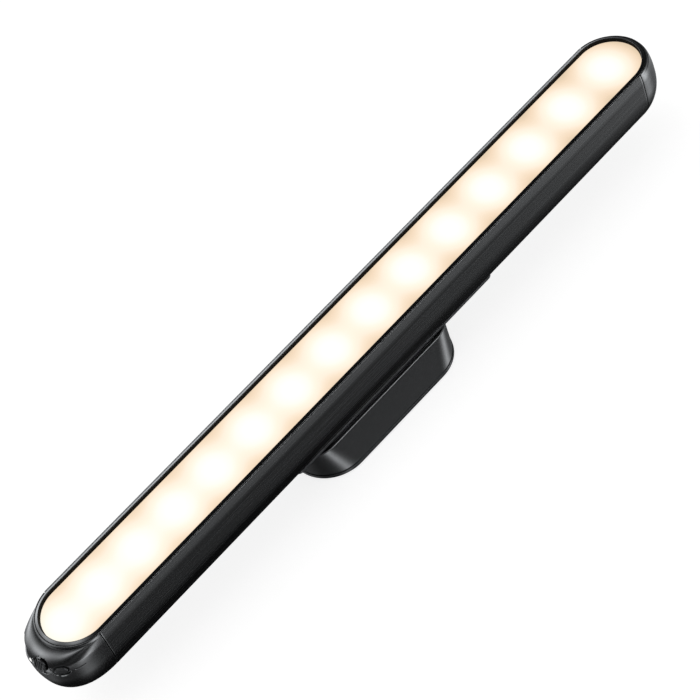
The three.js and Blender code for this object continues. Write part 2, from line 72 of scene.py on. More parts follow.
# lamp section: half widths (_W) and depths (_D)
RIM_D, RIM_W = -0.3, 15.6  # the rim stands just above the reference plane
EDGE_R = 0.3  # rounding of the rim
SHOULDER_D, WALL_D, BODY_D = 4.5, 11.5, 24.6
BODY_W, CORNER_W = 16.2, 7.2
CAVITY_W, CAVITY_CORNER_W, CAVITY_D = 14.4, 6.4, 23.0
MIDDLE_D, MIDDLE_R = 12.0, 14.5  # the section shrinks about this depth, from this nominal radius

# along the lamp, measured from its centre
LAMP_X = centre_x("channel_housing")
LAMP = (LAMP_X, 0.0, 0.0)
FACE_Z = top_z("channel_housing") + RIM_D
ARC_X = 149.1  # centres of the rounded ends
SEAM_X, SEAM_GAP = 150.8, 0.15  # joint of housing and cap; gap on each side of it
LED_X = [centre_x(f"led_{i:02d}") - LAMP_X for i in range(1, 16)]

# bezel and diffuser in the face pocket
BEZEL_IN, BEZEL_OUT = 13.67, 14.95
BEZEL_BOTTOM, BEZEL_TOP = bottom_z("face_bezel"), top_z("face_bezel")
POCKET_R = BEZEL_OUT + 0.2
DIFFUSER_R = BEZEL_IN - 0.25
DIFFUSER_BOTTOM, DIFFUSER_TOP = bottom_z("diffuser_lens"), top_z("diffuser_lens")

# end caps: plain collar under the rim, then a bulge reached over a run of depth;
# power is the exponent of the superellipse outline at full bulge
COLLAR_R, COLLAR_D, COLLAR_STEP = 16.0, 0.9, 0.2
CapShape = namedtuple("CapShape", "bulge run power")
CONTROL_CAP = CapShape(bulge=7.1, run=5.8, power=2.42)
PLAIN_CAP = CapShape(bulge=1.7, run=12.0, power=2.1)

# depths of the controls
ROW_D, SLIDER_D, BUTTON_D = 5.2, 4.8, 5.9
SLIDER_TILT = 22  # degrees

# plate under the lamp
PLATE_BOTTOM, PLATE_TOP = 15.95, 17.15
PLATE_SCREWS_X = (-46, 46)
PLATE_HOLE_R = 1.35

# base
PAD_TOP = 0.6
BASE_PLATE_TOP = 2.1
SHELL_BOTTOM, SHELL_TOP = 2.3, 15.4
SHELL_CAVITY_TOP = 13.9
SHELL_LENGTH, SHELL_LENGTH_GAIN = 39.7, 0.45  # half length at the foot, growth to the top
SHELL_FOOT_W, SHELL_TOP_W = 16.3, 12.7
SHELL_FOOT_R, SHELL_TOP_R = 16.0, 10.6  # plan corner radii
WELL_R = 10.3  # round opening over the swivel magnet
BOSSES = [(-32.5, -6.5), (32.5, -6.5), (-32.5, 6.5), (32.5, 6.5)]


# ------------------------------------------------------------------ section of the lamp
def width_at(depth):
    if depth < SHOULDER_D:
        share = (depth - RIM_D) / (SHOULDER_D - RIM_D)
        return RIM_W + (BODY_W - RIM_W) * math.sin(math.pi / 2 * share)
    if depth <= WALL_D:
        return BODY_W
    angle = math.asin(min(1.0, (depth - WALL_D) / (BODY_D - WALL_D)))
    return BODY_W - CORNER_W * (1 - math.cos(angle))


def share_of_run(depth, run):
    return min(1.0, max(0.0, (depth - COLLAR_D) / run))


def reach_at(depth, shape):
    """how far a cap extends beyond ARC_X"""
    if depth <= COLLAR_D:
        return COLLAR_R
    rest = 1 - share_of_run(depth, shape.run)
    full = COLLAR_R + COLLAR_STEP + shape.bulge * math.sqrt(1 - rest**2)
    return full * (width_at(depth) / BODY_W) if depth > WALL_D else full


def power_at(depth, shape):
    return 2 + (shape.power - 2) * share_of_run(depth, 0.5 * shape.run)


# ------------------------------------------------------------------ outlines
# counter-clockwise arrays of n x 2
def round_rect(length, width, radius, seg=12, centre=(0.0, 0.0)):
    radius = max(0.005, min(radius, length - 1e-4, width - 1e-4))
    corners = []
    for side_x, side_y, first in ((1, 1, 0), (-1, 1, 90), (-1, -1, 180), (1, -1, 270)):
        q = np.radians(first + 90 * np.arange(seg + 1) / seg)
        x = side_x * (length - radius) + radius * np.cos(q)
        y = side_y * (width - radius) + radius * np.sin(q)
        corners.append(np.stack([x, y], 1))
    return np.concatenate(corners) + centre


def shrinking_rect(length, width, radius, seg, centre=(0.0, 0.0)):
    """outline function of the inset, for stack"""
    return lambda inset: round_rect(length - inset, width - inset, radius - inset, seg, centre)


def stadium(arc_x, radius, seg):
    q = -np.pi / 2 + np.pi * np.arange(seg + 1) / seg
    right = np.stack([arc_x + radius * np.cos(q), radius * np.sin(q)], 1)
    return np.concatenate([right, -right])


def circle(radius, seg, x, y=0.0):
    q = 2 * np.pi * np.arange(seg) / seg
    return np.stack([x + radius * np.cos(q), y + radius * np.sin(q)], 1)


# ------------------------------------------------------------------ solids: (vertices, faces)
def side_faces(rings, count):
    """quads between successive closed rings of equal count"""
    faces = []
    for ring in range(rings - 1):
        for i in range(count):
            a, b = ring * count + i, ring * count + (i + 1) % count
            faces.append((a, b, b + count, a + count))
    return faces


def loft(rings):
    """closed solid through rings, bottom first, each counter-clockwise seen from above"""
    count = len(rings[0])
    faces = side_faces(len(rings), count)
    faces.append(tuple(range(count - 1, -1, -1)))
    top = (len(rings) - 1) * count
    faces.append(tuple(range(top, top + count)))
    return np.concatenate(rings), faces


def lift(outline, z):
    return np.column_stack([outline, np.full(len(outline), float(z))])


def prism(outline, bottom, top):
    return loft([lift(outline, bottom), lift(outline, top)])


def stack(outline, levels):
    """levels: (height, inset) from the bottom up; outline(inset) gives the ring"""
    return loft([lift(outline(inset), z) for z, inset in levels])


def quarter(steps):
    return [math.pi / 2 * k / steps for k in range(steps + 1)]


def fillet_levels(bottom, top, bottom_r, top_r, steps=6):
    """levels of a slab with rounded lower and upper edges; the lower one may be sharp"""
    levels = [(bottom, 0.0)]
    if bottom_r > 0:
        levels = [
            (bottom + bottom_r * (1 - math.cos(a)), bottom_r * (1 - math.sin(a)))
            for a in quarter(steps)
        ]
    return levels + [
        (top - top_r * (1 - math.sin(a)), top_r * (1 - math.cos(a))) for a in quarter(steps)
    ]


def lathe(profile, seg, centre=(0.0, 0.0)):
    """profile (radius, z) from the bottom centre to the top centre"""
    q = 2 * np.pi * np.arange(seg) / seg
    x, y = centre
    rings = [
        np.column_stack([x + r * np.cos(q), y + r * np.sin(q), np.full(seg, float(z))])
        for r, z in profile if r > 1e-6
    ]
    faces = side_faces(len(rings), seg)
    verts = np.concatenate(rings)
    for z, ring, downward in ((profile[0][1], 0, True), (profile[-1][1], len(rings) - 1, False)):
        hub = len(verts)
        verts = np.concatenate([verts, [[x, y, z]]])
        for i in range(seg):
            a, b = ring * seg + i, ring * seg + (i + 1) % seg
            faces.append((hub, b, a) if downward else (hub, a, b))
    return verts, faces


def arc(centre_r, centre_z, radius, first, last, steps):
    q = np.radians(np.linspace(first, last, steps + 1))
    return [(centre_r + radius * math.cos(a), centre_z + radius * math.sin(a)) for a in q]


def swept_ring(profile, arc_x, seg=96):
    """closed (radius, z) profile, counter-clockwise, carried round a stadium"""
    turn = np.pi * np.arange(seg + 1) / seg
    q = np.concatenate([-np.pi / 2 + turn, np.pi / 2 + turn])
    centre = np.concatenate([np.full(seg + 1, arc_x), np.full(seg + 1, -arc_x)])
    stops, count = len(q), len(profile)
    profile = np.array(profile)
    verts = np.zeros((stops, count, 3))
    verts[:, :, 0] = centre[:, None] + profile[None, :, 0] * np.cos(q)[:, None]
    verts[:, :, 1] = profile[None, :, 0] * np.sin(q)[:, None]
    verts[:, :, 2] = profile[None, :, 1]
    faces = []
    for i in range(stops):
        j = (i + 1) % stops
        for k in range(count):
            after = (k + 1) % count
            faces.append((i * count + k, j * count + k, j * count + after, i * count + after))
    return verts.reshape(-1, 3), faces


def outwards(solid):
    """a solid built upwards becomes one built along local +X: (u, v, w) -> (w, u, v)"""
    verts, faces = solid
    return verts[:, [2, 0, 1]], faces


# ------------------------------------------------------------------ objects
def add_object(name, data):
    obj = bpy.data.objects.new(name, data)
    bpy.context.scene.collection.objects.link(obj)
    return obj


def new_object(name, solid, offset=(0.0, 0.0, 0.0), place=None):
    """place is a station: (3x3 axes in columns, position)"""
    verts, faces = solid
    verts = np.asarray(verts, float)
    if place is not None:
        verts = verts @ place[0].T + place[1]
    verts = (verts + np.asarray(offset)) * 0.001
    mesh = bpy.data.meshes.new(name)
    mesh.from_pydata(verts.tolist(), [], faces)
    mesh.validate()
    return add_object(name, mesh)


def bake_boolean(obj, tool, operation, solver):
    modifier = obj.modifiers.new("cut", "BOOLEAN")
    modifier.operation = operation
    modifier.object = tool
    modifier.solver = solver
    depsgraph = bpy.context.evaluated_depsgraph_get()
    mesh = bpy.data.meshes.new_from_object(obj.evaluated_get(depsgraph))
    obj.modifiers.clear()
    old = obj.data
    obj.data = mesh
    mesh.name = obj.name
    bpy.data.meshes.remove(old)


def combine(obj, solid, operation="DIFFERENCE", **placing):
    """cuts the solid from the object, or joins it on"""
    tool = new_object("cutter", solid, **placing)
    before = len(obj.data.polygons)
    spare = obj.data.copy()
    bake_boolean(obj, tool, operation, "MANIFOLD")
    after = len(obj.data.polygons)
    # the fast solver can empty the mesh or leave it uncut; the exact one then takes over
    if after < 4 or (after == before and operation == "DIFFERENCE"):
        obj.data = spare
        bake_boolean(obj, tool, operation, "EXACT")
    bpy.data.objects.remove(tool)


def finish(obj, body, slot, degrees=35):
    """shading, material and the place in the frame; edges above the angle stay sharp"""
    mesh = obj.data
    mesh.polygons.foreach_set("use_smooth", [True] * len(mesh.polygons))
    mesh.set_sharp_from_angle(angle=math.radians(degrees))
    mesh.update()
    normals = obj.modifiers.new("normals", "WEIGHTED_NORMAL")
    normals.keep_sharp = True
    normals.weight = 80
    mesh.materials.clear()
    mesh.materials.append(materials[slot])
    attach(obj, body)
    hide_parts(obj.name.removeprefix("look_"))


# ------------------------------------------------------------------ shader node helpers
def node(tree, kind, inputs=None, **props):
    """inputs: socket name or index -> value, or the socket that feeds it"""
    made = tree.nodes.new(kind)
    for key, value in props.items():
        setattr(made, key, value)
    for key, value in (inputs or {}).items():
        if isinstance(value, bpy.types.NodeSocket):
            tree.links.new(value, made.inputs[key])
        else:
            made.inputs[key].default_value = value
    return made


def calc(tree, operation, *values):
    inputs = dict(enumerate(values))
    return node(tree, "ShaderNodeMath", inputs, operation=operation).outputs[0]


def vector_calc(tree, operation, a, b):
    made = node(tree, "ShaderNodeVectorMath", {0: a, 1: b}, operation=operation)
    return made.outputs["Value" if operation == "DOT_PRODUCT" else "Vector"]


def remap(tree, value, source, target):
    return node(tree, "ShaderNodeMapRange", {
        "Value": value, "From Min": source[0], "From Max": source[1],
        "To Min": target[0], "To Max": target[1],
    }).outputs["Result"]


def blend(tree, a, b, factor):
    inputs = {"Factor": factor, 6: a, 7: b}  # 6 and 7 are the colour sockets
    return node(tree, "ShaderNodeMix", inputs, data_type="RGBA").outputs[2]


def noise(tree, vector, scale, detail=2.0, roughness=0.5):
    return node(tree, "ShaderNodeTexNoise", {
        "Vector": vector, "Scale": scale, "Detail": detail, "Roughness": roughness,
    }).outputs["Fac"]


def separate(tree, vector):
    return node(tree, "ShaderNodeSeparateXYZ", {0: vector}).outputs


def bump(tree, bsdf, height, strength, distance):
    made = node(tree, "ShaderNodeBump", {
        "Strength": strength, "Distance": distance, "Height": height,
    })
    tree.links.new(made.outputs[0], bsdf.inputs["Normal"])


def colour_ramp(tree, factor, stops):
    """stops: (position, linear colour)"""
    made = node(tree, "ShaderNodeValToRGB", {0: factor})
    elements = made.color_ramp.elements
    while len(elements) < len(stops):
        elements.new(0.5)
    for element, (position, colour) in zip(elements, stops):
        element.position = position
        element.color = colour
    return made.outputs[0]


def linear(srgb):
    """8-bit sRGB to linear RGBA"""
    return tuple(
        ((c / 255 + 0.055) / 1.055) ** 2.4 if c > 10.3 else c / 255 / 12.92 for c in srgb
    ) + (1.0,)


def grey(level):
    return (level, level, level, 1.0)


def shade(colour, factor):
    return tuple(c * factor for c in colour) + (1.0,)


def empty_tree(owner, output_kind):
    owner.use_nodes = True
    tree = owner.node_tree
    tree.nodes.clear()
    return tree, node(tree, output_kind)


def start_material(name):
    material = bpy.data.materials.new(name)
    tree, output = empty_tree(material, "ShaderNodeOutputMaterial")
    bsdf = node(tree, "ShaderNodeBsdfPrincipled")
    tree.links.new(bsdf.outputs[0], output.inputs[0])
    position = node(tree, "ShaderNodeTexCoord").outputs["Object"]
    return material, tree, bsdf, position


# ------------------------------------------------------------------ material kinds
def moulded(name, colour, rough, rough_spread=0.05, grain=5200, grain_bump=0.12,
            specular=0.5, coat=0.0, mottle=0.25, glow=0.0):
    """moulded or painted: fine grain, uneven gloss, slight colour drift, painted highlight on
    sharp edges
    """
    material, tree, bsdf, position = start_material(name)
    patches = noise(tree, position, scale=70, detail=3)
    blotches = noise(tree, position, scale=700, detail=4, roughness=0.6)
    fine = noise(tree, position, scale=grain, detail=2)
    drift = calc(tree, "MULTIPLY_ADD", blotches, 0.5, calc(tree, "MULTIPLY", patches, 0.5))
    mottled = blend(tree, shade(colour, 1 - mottle), shade(colour, 1 + mottle), drift)

    # painted highlight: sharp convex edges (high pointiness) are blended towards a lighter colour
    pointiness = node(tree, "ShaderNodeNewGeometry").outputs["Pointiness"]
    edge_highlight_mask = remap(tree, pointiness, source=(0.54, 0.62), target=(0.0, 0.35))
    edge_highlight_colour = tuple(min(1, c * 2.2 + 0.004) for c in colour) + (1.0,)
    tree.links.new(blend(tree, mottled, edge_highlight_colour, edge_highlight_mask), bsdf.inputs["Base Color"])

    gloss = remap(tree, blotches, source=(0.3, 0.7),
                  target=(rough - rough_spread, rough + rough_spread))
    tree.links.new(gloss, bsdf.inputs["Roughness"])
    bsdf.inputs["Specular IOR Level"].default_value = specular
    bsdf.inputs["Coat Weight"].default_value = coat
    bsdf.inputs["Coat Roughness"].default_value = 0.12
    if glow:
        bsdf.inputs["Emission Color"].default_value = (1.0, 0.98, 0.94, 1.0)
        bsdf.inputs["Emission Strength"].default_value = glow
    bump(tree, bsdf, fine, strength=grain_bump, distance=0.00002)
    return material


def drawn_metal(name, colour, rough, streak):
    """dark extrusion: die lines and fine scratches run along X"""
    material, tree, bsdf, position = start_material(name)
    axes = separate(tree, position)

    def stretched(*scales):
        scaled = {i: calc(tree, "MULTIPLY", axes[i], scale) for i, scale in enumerate(scales)}
        return node(tree, "ShaderNodeCombineXYZ", scaled).outputs[0]

    line_space = stretched(5.0, 900.0, 1500.0)
    scratch_space = stretched(22.0, 4200.0, 6000.0)
    lines = noise(tree, line_space, scale=1.0, detail=3, roughness=0.65)
    scratches = noise(tree, scratch_space, scale=1.0, detail=3, roughness=0.6)
    patches = noise(tree, position, scale=60, detail=3)
    texture = calc(tree, "ADD", calc(tree, "MULTIPLY", lines, 0.62),
                   calc(tree, "MULTIPLY", scratches, 0.38))

    streaks = remap(tree, texture, source=(0.34, 0.66), target=(0.0, 1.0))
    streaked = blend(tree, shade(colour, 1 - streak), shade(colour, 1 + streak), streaks)
    warm = (colour[0] * 1.1, colour[1], colour[2] * 0.92, 1.0)
    warmth = remap(tree, patches, source=(0.4, 0.65), target=(0.0, 0.5))
    tree.links.new(blend(tree, streaked, warm, warmth), bsdf.inputs["Base Color"])

    gloss = remap(tree, texture, source=(0.3, 0.7), target=(rough - 0.07, rough + 0.08))
    tree.links.new(gloss, bsdf.inputs["Roughness"])
    specular = remap(tree, texture, source=(0.34, 0.66), target=(0.65, 1.0))
    tree.links.new(specular, bsdf.inputs["Specular IOR Level"])
    bump(tree, bsdf, texture, strength=0.3, distance=0.00001)
    return material


def bright_metal(name, colour, rough):
    """bright metal with a fine finish drawn out along X"""
    material, tree, bsdf, position = start_material(name)
    stretched = vector_calc(tree, "MULTIPLY", position, (0.15, 1.0, 1.0))
    lines = noise(tree, stretched, scale=2600, detail=3, roughness=0.6)
    blotches = noise(tree, position, scale=300, detail=4)
    lined = blend(tree, shade(colour, 0.85), shade(colour, 1.08), lines)
    tree.links.new(lined, bsdf.inputs["Base Color"])
    gloss = remap(tree, blotches, source=(0.3, 0.7), target=(rough - 0.05, rough + 0.08))
    tree.links.new(gloss, bsdf.inputs["Roughness"])
    bsdf.inputs["Metallic"].default_value = 1.0
    bump(tree, bsdf, lines, strength=0.2, distance=0.00001)
    return material


SPOT_X, SPOT_Y = 9.4, 11.4  # half sizes of the pool of light over each LED
GLOW_COLOURS = [  # summed light, sRGB colour
    (0.0, (208, 184, 154)), (0.07, (220, 196, 166)), (0.13, (230, 207, 177)),
    (0.19, (243, 218, 189)), (0.30, (250, 230, 205)), (0.40, (254, 240, 220)),
    (0.52, (254, 246, 227)), (0.70, (255, 253, 243)), (0.9, (255, 255, 252)),
    (1.0, (255, 255, 255)),
]


def glow_face(name):
    """opal sheet over the LEDs: each makes a soft elliptical pool, warm towards the edge"""
    material, tree, bsdf, position = start_material(name)
    axes = separate(tree, position)
    x = calc(tree, "MULTIPLY_ADD", axes[0], 1000.0, -LAMP_X)
    y = calc(tree, "MULTIPLY", axes[1], 1000.0)
    across = calc(tree, "ABSOLUTE", calc(tree, "DIVIDE", y, SPOT_Y))
    across_squared = calc(tree, "POWER", across, 2.0)
    light = None
    for led_x in LED_X:
        along = calc(tree, "DIVIDE", calc(tree, "SUBTRACT", x, led_x), SPOT_X)
        squared = calc(tree, "MULTIPLY_ADD", along, along, across_squared)
        pool = calc(tree, "EXPONENT", calc(tree, "MULTIPLY", squared, -1.0))
        light = pool if light is None else calc(tree, "ADD", light, pool)
    wobble = calc(tree, "SUBTRACT", noise(tree, position, scale=900, detail=3), 0.5)
    light = calc(tree, "MULTIPLY_ADD", wobble, 0.02, light)
    stops = [(share, linear(colour)) for share, colour in GLOW_COLOURS]
    tree.links.new(colour_ramp(tree, light, stops), bsdf.inputs["Emission Color"])

    # full strength to the camera, a tenth of it as light on other things
    seen = node(tree, "ShaderNodeLightPath").outputs["Is Camera Ray"]
    strength = calc(tree, "MULTIPLY_ADD", seen, 0.9, 0.1)
    tree.links.new(strength, bsdf.inputs["Emission Strength"])
    fine = noise(tree, position, scale=7000, detail=2)
    base = blend(tree, (0.03, 0.028, 0.026, 1), (0.05, 0.047, 0.043, 1), fine)
    tree.links.new(base, bsdf.inputs["Base Color"])
    bsdf.inputs["Roughness"].default_value = 0.5
    bsdf.inputs["Specular IOR Level"].default_value = 0.1
    return material


# ------------------------------------------------------------------ materials, one per slot
FINISHES = {
    "housing_metal": (drawn_metal, dict(colour=(0.0040, 0.0042, 0.0045), rough=0.24, streak=0.6)),
    "bezel_gloss": (moulded, dict(
        colour=(0.002, 0.002, 0.0022), rough=0.2, rough_spread=0.03, grain_bump=0.02,
        specular=0.7)),
    "diffuser": (glow_face, {}),
    "reflector_white": (moulded, dict(colour=(0.82, 0.81, 0.78), rough=0.5, mottle=0.03)),
    "board_white": (moulded, dict(colour=(0.80, 0.80, 0.78), rough=0.4, mottle=0.04)),
    "cap_plastic": (moulded, dict(
        colour=(0.0038, 0.0040, 0.0043), rough=0.24, rough_spread=0.03, specular=0.83)),
    "board_green": (moulded, dict(colour=(0.015, 0.12, 0.05), rough=0.35, coat=0.4)),
    "bare_steel": (bright_metal, dict(colour=(0.56, 0.56, 0.58), rough=0.3)),
    "black_plastic": (moulded, dict(colour=(0.008, 0.008, 0.009), rough=0.45)),
    "clear_plastic": (moulded, dict(
        colour=(0.8, 0.84, 0.83), rough=0.12, mottle=0.02, grain_bump=0.02, glow=0.55)),
    "led_package": (moulded, dict(colour=(0.93, 0.72, 0.27), rough=0.35, mottle=0.08)),
    "knob_plastic": (moulded, dict(colour=(0.010, 0.0102, 0.011), rough=0.4)),
    "cell_sleeve": (moulded, dict(colour=(0.03, 0.16, 0.36), rough=0.25, coat=0.5, grain=2500)),
    "nickel": (bright_metal, dict(colour=(0.66, 0.64, 0.58), rough=0.22)),
    "wire_red": (moulded, dict(colour=(0.42, 0.02, 0.02), rough=0.4)),
    "wire_black": (moulded, dict(colour=(0.012, 0.012, 0.012), rough=0.42)),
    "plate_black": (moulded, dict(
        colour=(0.008, 0.0082, 0.009), rough=0.4, grain=3200, grain_bump=0.25)),
    "base_plastic": (moulded, dict(
        colour=(0.006, 0.0062, 0.0065), rough=0.24, rough_spread=0.03, specular=0.6)),
    "foam_tape": (moulded, dict(
        colour=(0.02, 0.02, 0.02), rough=0.9, grain=2600, grain_bump=0.8, specular=0.2)),
    "magnet_nickel": (bright_metal, dict(colour=(0.62, 0.63, 0.65), rough=0.16)),
    "grip_rubber": (moulded, dict(
        colour=(0.006, 0.006, 0.0062), rough=0.75, grain=2600, grain_bump=0.5, specular=0.3)),
}
materials = {
    slot: build(f"mat_{slot}", **settings) for slot, (build, settings) in FINISHES.items()
}

slot_of = {part["node"]: part["material_slot"] for part in frame["record"]["subparts"]}
for name, obj in frame["nodes"].items():
    obj.data.materials.clear()
    obj.data.materials.append(materials[slot_of[name]])


# ------------------------------------------------------------------ channel housing
def channel_section():
    """closed (y, z) loop, counter-clockwise seen from +X"""
    outer = [  # (half width, depth), rim first
        (width_at(RIM_D + EDGE_R) - EDGE_R * (1 - math.sin(a)), RIM_D + EDGE_R * (1 - math.cos(a)))
        for a in quarter(8)
    ]
    walls = [np.linspace(0.0, SHOULDER_D, 25)[1:], np.linspace(SHOULDER_D, WALL_D, 10)[1:]]
    outer += [(width_at(depth), depth) for depth in np.concatenate(walls)]
    outer += [
        (BODY_W - CORNER_W * (1 - math.cos(a)), WALL_D + (BODY_D - WALL_D) * math.sin(a))
        for a in quarter(48)[1:]
    ]
    # face pocket, narrower throat, then the cavity
    inner = [
        (POCKET_R + 0.08, RIM_D), (POCKET_R, -0.22), (POCKET_R, 3.0),
        (13.65, 3.0), (13.65, 6.0), (CAVITY_W, 6.8), (CAVITY_W, WALL_D),
    ]
    inner += [
        (CAVITY_W - CAVITY_CORNER_W * (1 - math.cos(a)),
         WALL_D + (CAVITY_D - WALL_D) * math.sin(a))
        for a in quarter(24)[1:]
    ]
    loop = [(-y, depth) for y, depth in outer] + outer[::-1]
    loop += inner + [(-y, depth) for y, depth in inner[::-1]]
    return np.array([(y, FACE_Z - depth) for y, depth in loop])


def channel_housing():
    section = channel_section()
    middle = np.array([0.0, FACE_Z - MIDDLE_D])
    end = SEAM_X - SEAM_GAP
    # (x, inset): the ends are rounded over
    left = [(-end, 0.16), (-end + 0.03, 0.10), (-end + 0.09, 0.04)]
    left += [(-end + step, 0.0) for step in (0.18, 0.6, 3)]
    right = [(-x, inset) for x, inset in left[::-1]]
    rings = []
    for x, inset in left + [(x, 0.0) for x in np.linspace(-140, 140, 29)] + right:
        points = middle + (section - middle) * (1 - inset / MIDDLE_R)
        rings.append(np.column_stack([np.full(len(points), x), points]))
    obj = new_object("look_channel_housing", loft(rings), offset=LAMP)
    for x in PLATE_SCREWS_X:
        combine(obj, prism(circle(PLATE_HOLE_R, 32, x), 16.5, 20.5), offset=LAMP)
    finish(obj, "lamp", "housing_metal")


channel_housing()


# ------------------------------------------------------------------ bezel, diffuser
def face_bezel():
    top = BEZEL_TOP
    profile = [  # (radius, z)
        (BEZEL_IN, BEZEL_BOTTOM), (BEZEL_OUT, BEZEL_BOTTOM),
        # small lip on the outer wall
        (BEZEL_OUT, top - 1.2), (BEZEL_OUT + 0.13, top - 1.1), (BEZEL_OUT + 0.13, top - 0.64),
        (BEZEL_OUT + 0.11, top - 0.59), (BEZEL_OUT + 0.04, top - 0.54),
        # outer slope
        (BEZEL_OUT - 0.5, top - 0.26), (BEZEL_OUT - 0.92, top - 0.06),
        (BEZEL_OUT - 0.97, top - 0.035), (BEZEL_OUT - 1.02, top - 0.01), (BEZEL_OUT - 1.07, top),
        # inner edge
        (BEZEL_IN + 0.14, top), (BEZEL_IN + 0.09, top - 0.015), (BEZEL_IN + 0.05, top - 0.04),
        (BEZEL_IN + 0.015, top - 0.09), (BEZEL_IN, top - 0.16), (BEZEL_IN, top - 1.2),
    ]
    obj = new_object("look_face_bezel", swept_ring(profile, ARC_X), offset=LAMP)
    finish(obj, "lamp", "bezel_gloss")


def diffuser_lens():
    levels = fillet_levels(DIFFUSER_BOTTOM, DIFFUSER_TOP, 0.1, 0.25)
    solid = stack(lambda inset: stadium(ARC_X, DIFFUSER_R - inset, 72), levels)
    finish(new_object("look_diffuser_lens", solid, offset=LAMP), "lamp", "diffuser")


face_bezel()
diffuser_lens()


# ------------------------------------------------------------------ stations on the control cap
def station(y, depth=ROW_D, turn=None, tilt=0.0):
    """axes (outward, across, up in columns) and position on the skin of the control cap

    turn fixes the heading in degrees from -X instead of the skin's normal; tilt leans it up
    """
    reach, width = reach_at(depth, CONTROL_CAP), width_at(depth)
    power = power_at(depth, CONTROL_CAP)
    share = abs(y) / width
    x = reach * (1 - share**power) ** (1 / power)
    normal_x = (x / reach) ** (power - 1) / reach
    normal_y = share ** (power - 1) / width
    if turn is None:
        angle = math.atan2(math.copysign(normal_y, y), -normal_x)
    else:
        angle = math.pi - math.radians(turn)
    cos, sin = math.cos(angle), math.sin(angle)
    heading = np.array([[cos, -sin, 0], [sin, cos, 0], [0, 0, 1]])
    cos, sin = math.cos(math.radians(tilt)), math.sin(math.radians(tilt))
    lean = np.array([[cos, 0, -sin], [0, 1, 0], [sin, 0, cos]])
    return heading @ lean, np.array([-(ARC_X + x), y, FACE_Z - depth])


USB = station(8.6, turn=20)
PIPE = station(2.5)
BUTTON = station(-10.6, BUTTON_D)
SLIDER = station(-3.0, SLIDER_D)
SLIDER_FACE = station(-3.0, SLIDER_D, tilt=SLIDER_TILT)
DIMPLES = [station(y, depth) for y, depth in ((1.4, 3.6), (1.4, 6.8), (-7.5, 4.3), (-7.5, 7.5))]
GROOVE = station(-14.2, 6.9)

# openings: half width, half height, corner radius
USB_MOUTH = (4.75, 1.9, 1.85)
PIPE_HOLE = (0.9, 0.9, 0.89)

# hollows pressed into the skin: station, (half width, half height, corner radius), depth,
# run of the lip outside the outline, run of the wall inside it,
# whether the floor follows the skin (else it is flat), how far inside the skin it still acts
HOLLOWS = [
    (SLIDER_FACE, (3.85, 3.2, 3.1), 1.5, 0.2, 0.3, False, 4),
    (BUTTON, (3.2, 2.6, 2.5), 1.0, 0.22, 0.3, False, 4),
    (USB, USB_MOUTH, 0.9, 0.3, 0.25, True, 7),
    (PIPE, PIPE_HOLE, 0.35, 0.2, 0.2, True, 4),
    *[(dimple, (0.36, 0.36, 0.355), 0.45, 0.12, 0.2, True, 4) for dimple in DIMPLES],
    (GROOVE, (2.0, 0.18, 0.17), 0.4, 0.1, 0.15, True, 4),
]

# holes cut through: station, half width, half height, corner radius, from, to (outward)
OPENINGS = [
    (USB, *USB_MOUTH, -9, 4),
    (PIPE, *PIPE_HOLE, -6, 3),
    (SLIDER, 2.5, 1.2, 0.5, -6, 0.2),
    (BUTTON, 2.6, 2.05, 1.9, -7, 0),
]


# ------------------------------------------------------------------ end caps
def cap_ring(depth, shape, sign, seam, fractions, width_inset, reach_inset):
    """cap outline at one depth, round the end from seam to seam, at shares of its length"""
    width = width_at(depth) - width_inset
    reach = reach_at(depth, shape) - reach_inset
    power = power_at(depth, shape)
    limit = math.acos(min(1.0, (seam - ARC_X) / reach) ** (power / 2))
    q = np.linspace(-limit, limit, 1601)
    x = ARC_X + reach * np.abs(np.cos(q)) ** (2 / power)
    y = width * (np.sign(np.sin(q)) * np.abs(np.sin(q)) ** (2 / power))
    run = np.concatenate([[0], np.cumsum(np.hypot(np.diff(x), np.diff(y)))])
    run /= run[-1]
    ring = np.stack([sign * np.interp(fractions, run, x), np.interp(fractions, run, y)], 1)
    return ring if sign > 0 else ring[::-1]


def rect_distance(u, v, length, width, radius):
    """signed distance to a rounded rectangle, negative inside"""
    du, dv = np.abs(u) - (length - radius), np.abs(v) - (width - radius)
    outside = np.hypot(np.maximum(du, 0), np.maximum(dv, 0))
    return outside + np.minimum(np.maximum(du, dv), 0) - radius


def press(points, place, outline, sink, lip, wall, follows_skin, reach):
    axes, origin = place
    local = points - origin
    outward, across, up = local @ axes[:, 0], local @ axes[:, 1], local @ axes[:, 2]
    ramp = np.clip((lip - rect_distance(across, up, *outline)) / (lip + wall), 0, 1)
    weight = ramp * ramp * (3 - 2 * ramp) * (outward > -reach)
    move = -sink * weight if follows_skin else weight * (-sink - outward)
    return points + move[:, None] * axes[:, 0][None, :]


def cap_levels(dense):
    """(depth, inset) from the rim down"""
    levels = [
        (RIM_D + EDGE_R * (1 - math.cos(a)), EDGE_R * (1 - math.sin(a))) for a in quarter(8)
    ]
    depths = [
        0.04, 0.07, 0.1, 0.13, 0.17, 0.22, 0.35, 0.55, 0.7, 0.8, 0.86, 0.9, 0.905, 0.915,
        0.93, 0.95, 0.98, 1.02, 1.07, 1.13, 1.2, 1.3, 1.42, 1.56, 1.72, 1.9, 2.1, 2.3,
    ]
    if dense:
        depths += list(np.arange(2.5, 9.3, 0.11))
        depths += list(np.linspace(9.4, WALL_D, 8))
    else:
        depths += list(np.linspace(2.5, WALL_D, 26))
    depths += [WALL_D + (BODY_D - WALL_D) * math.sin(a) for a in quarter(44)[1:]]
    return levels + [(depth, 0.0) for depth in depths]


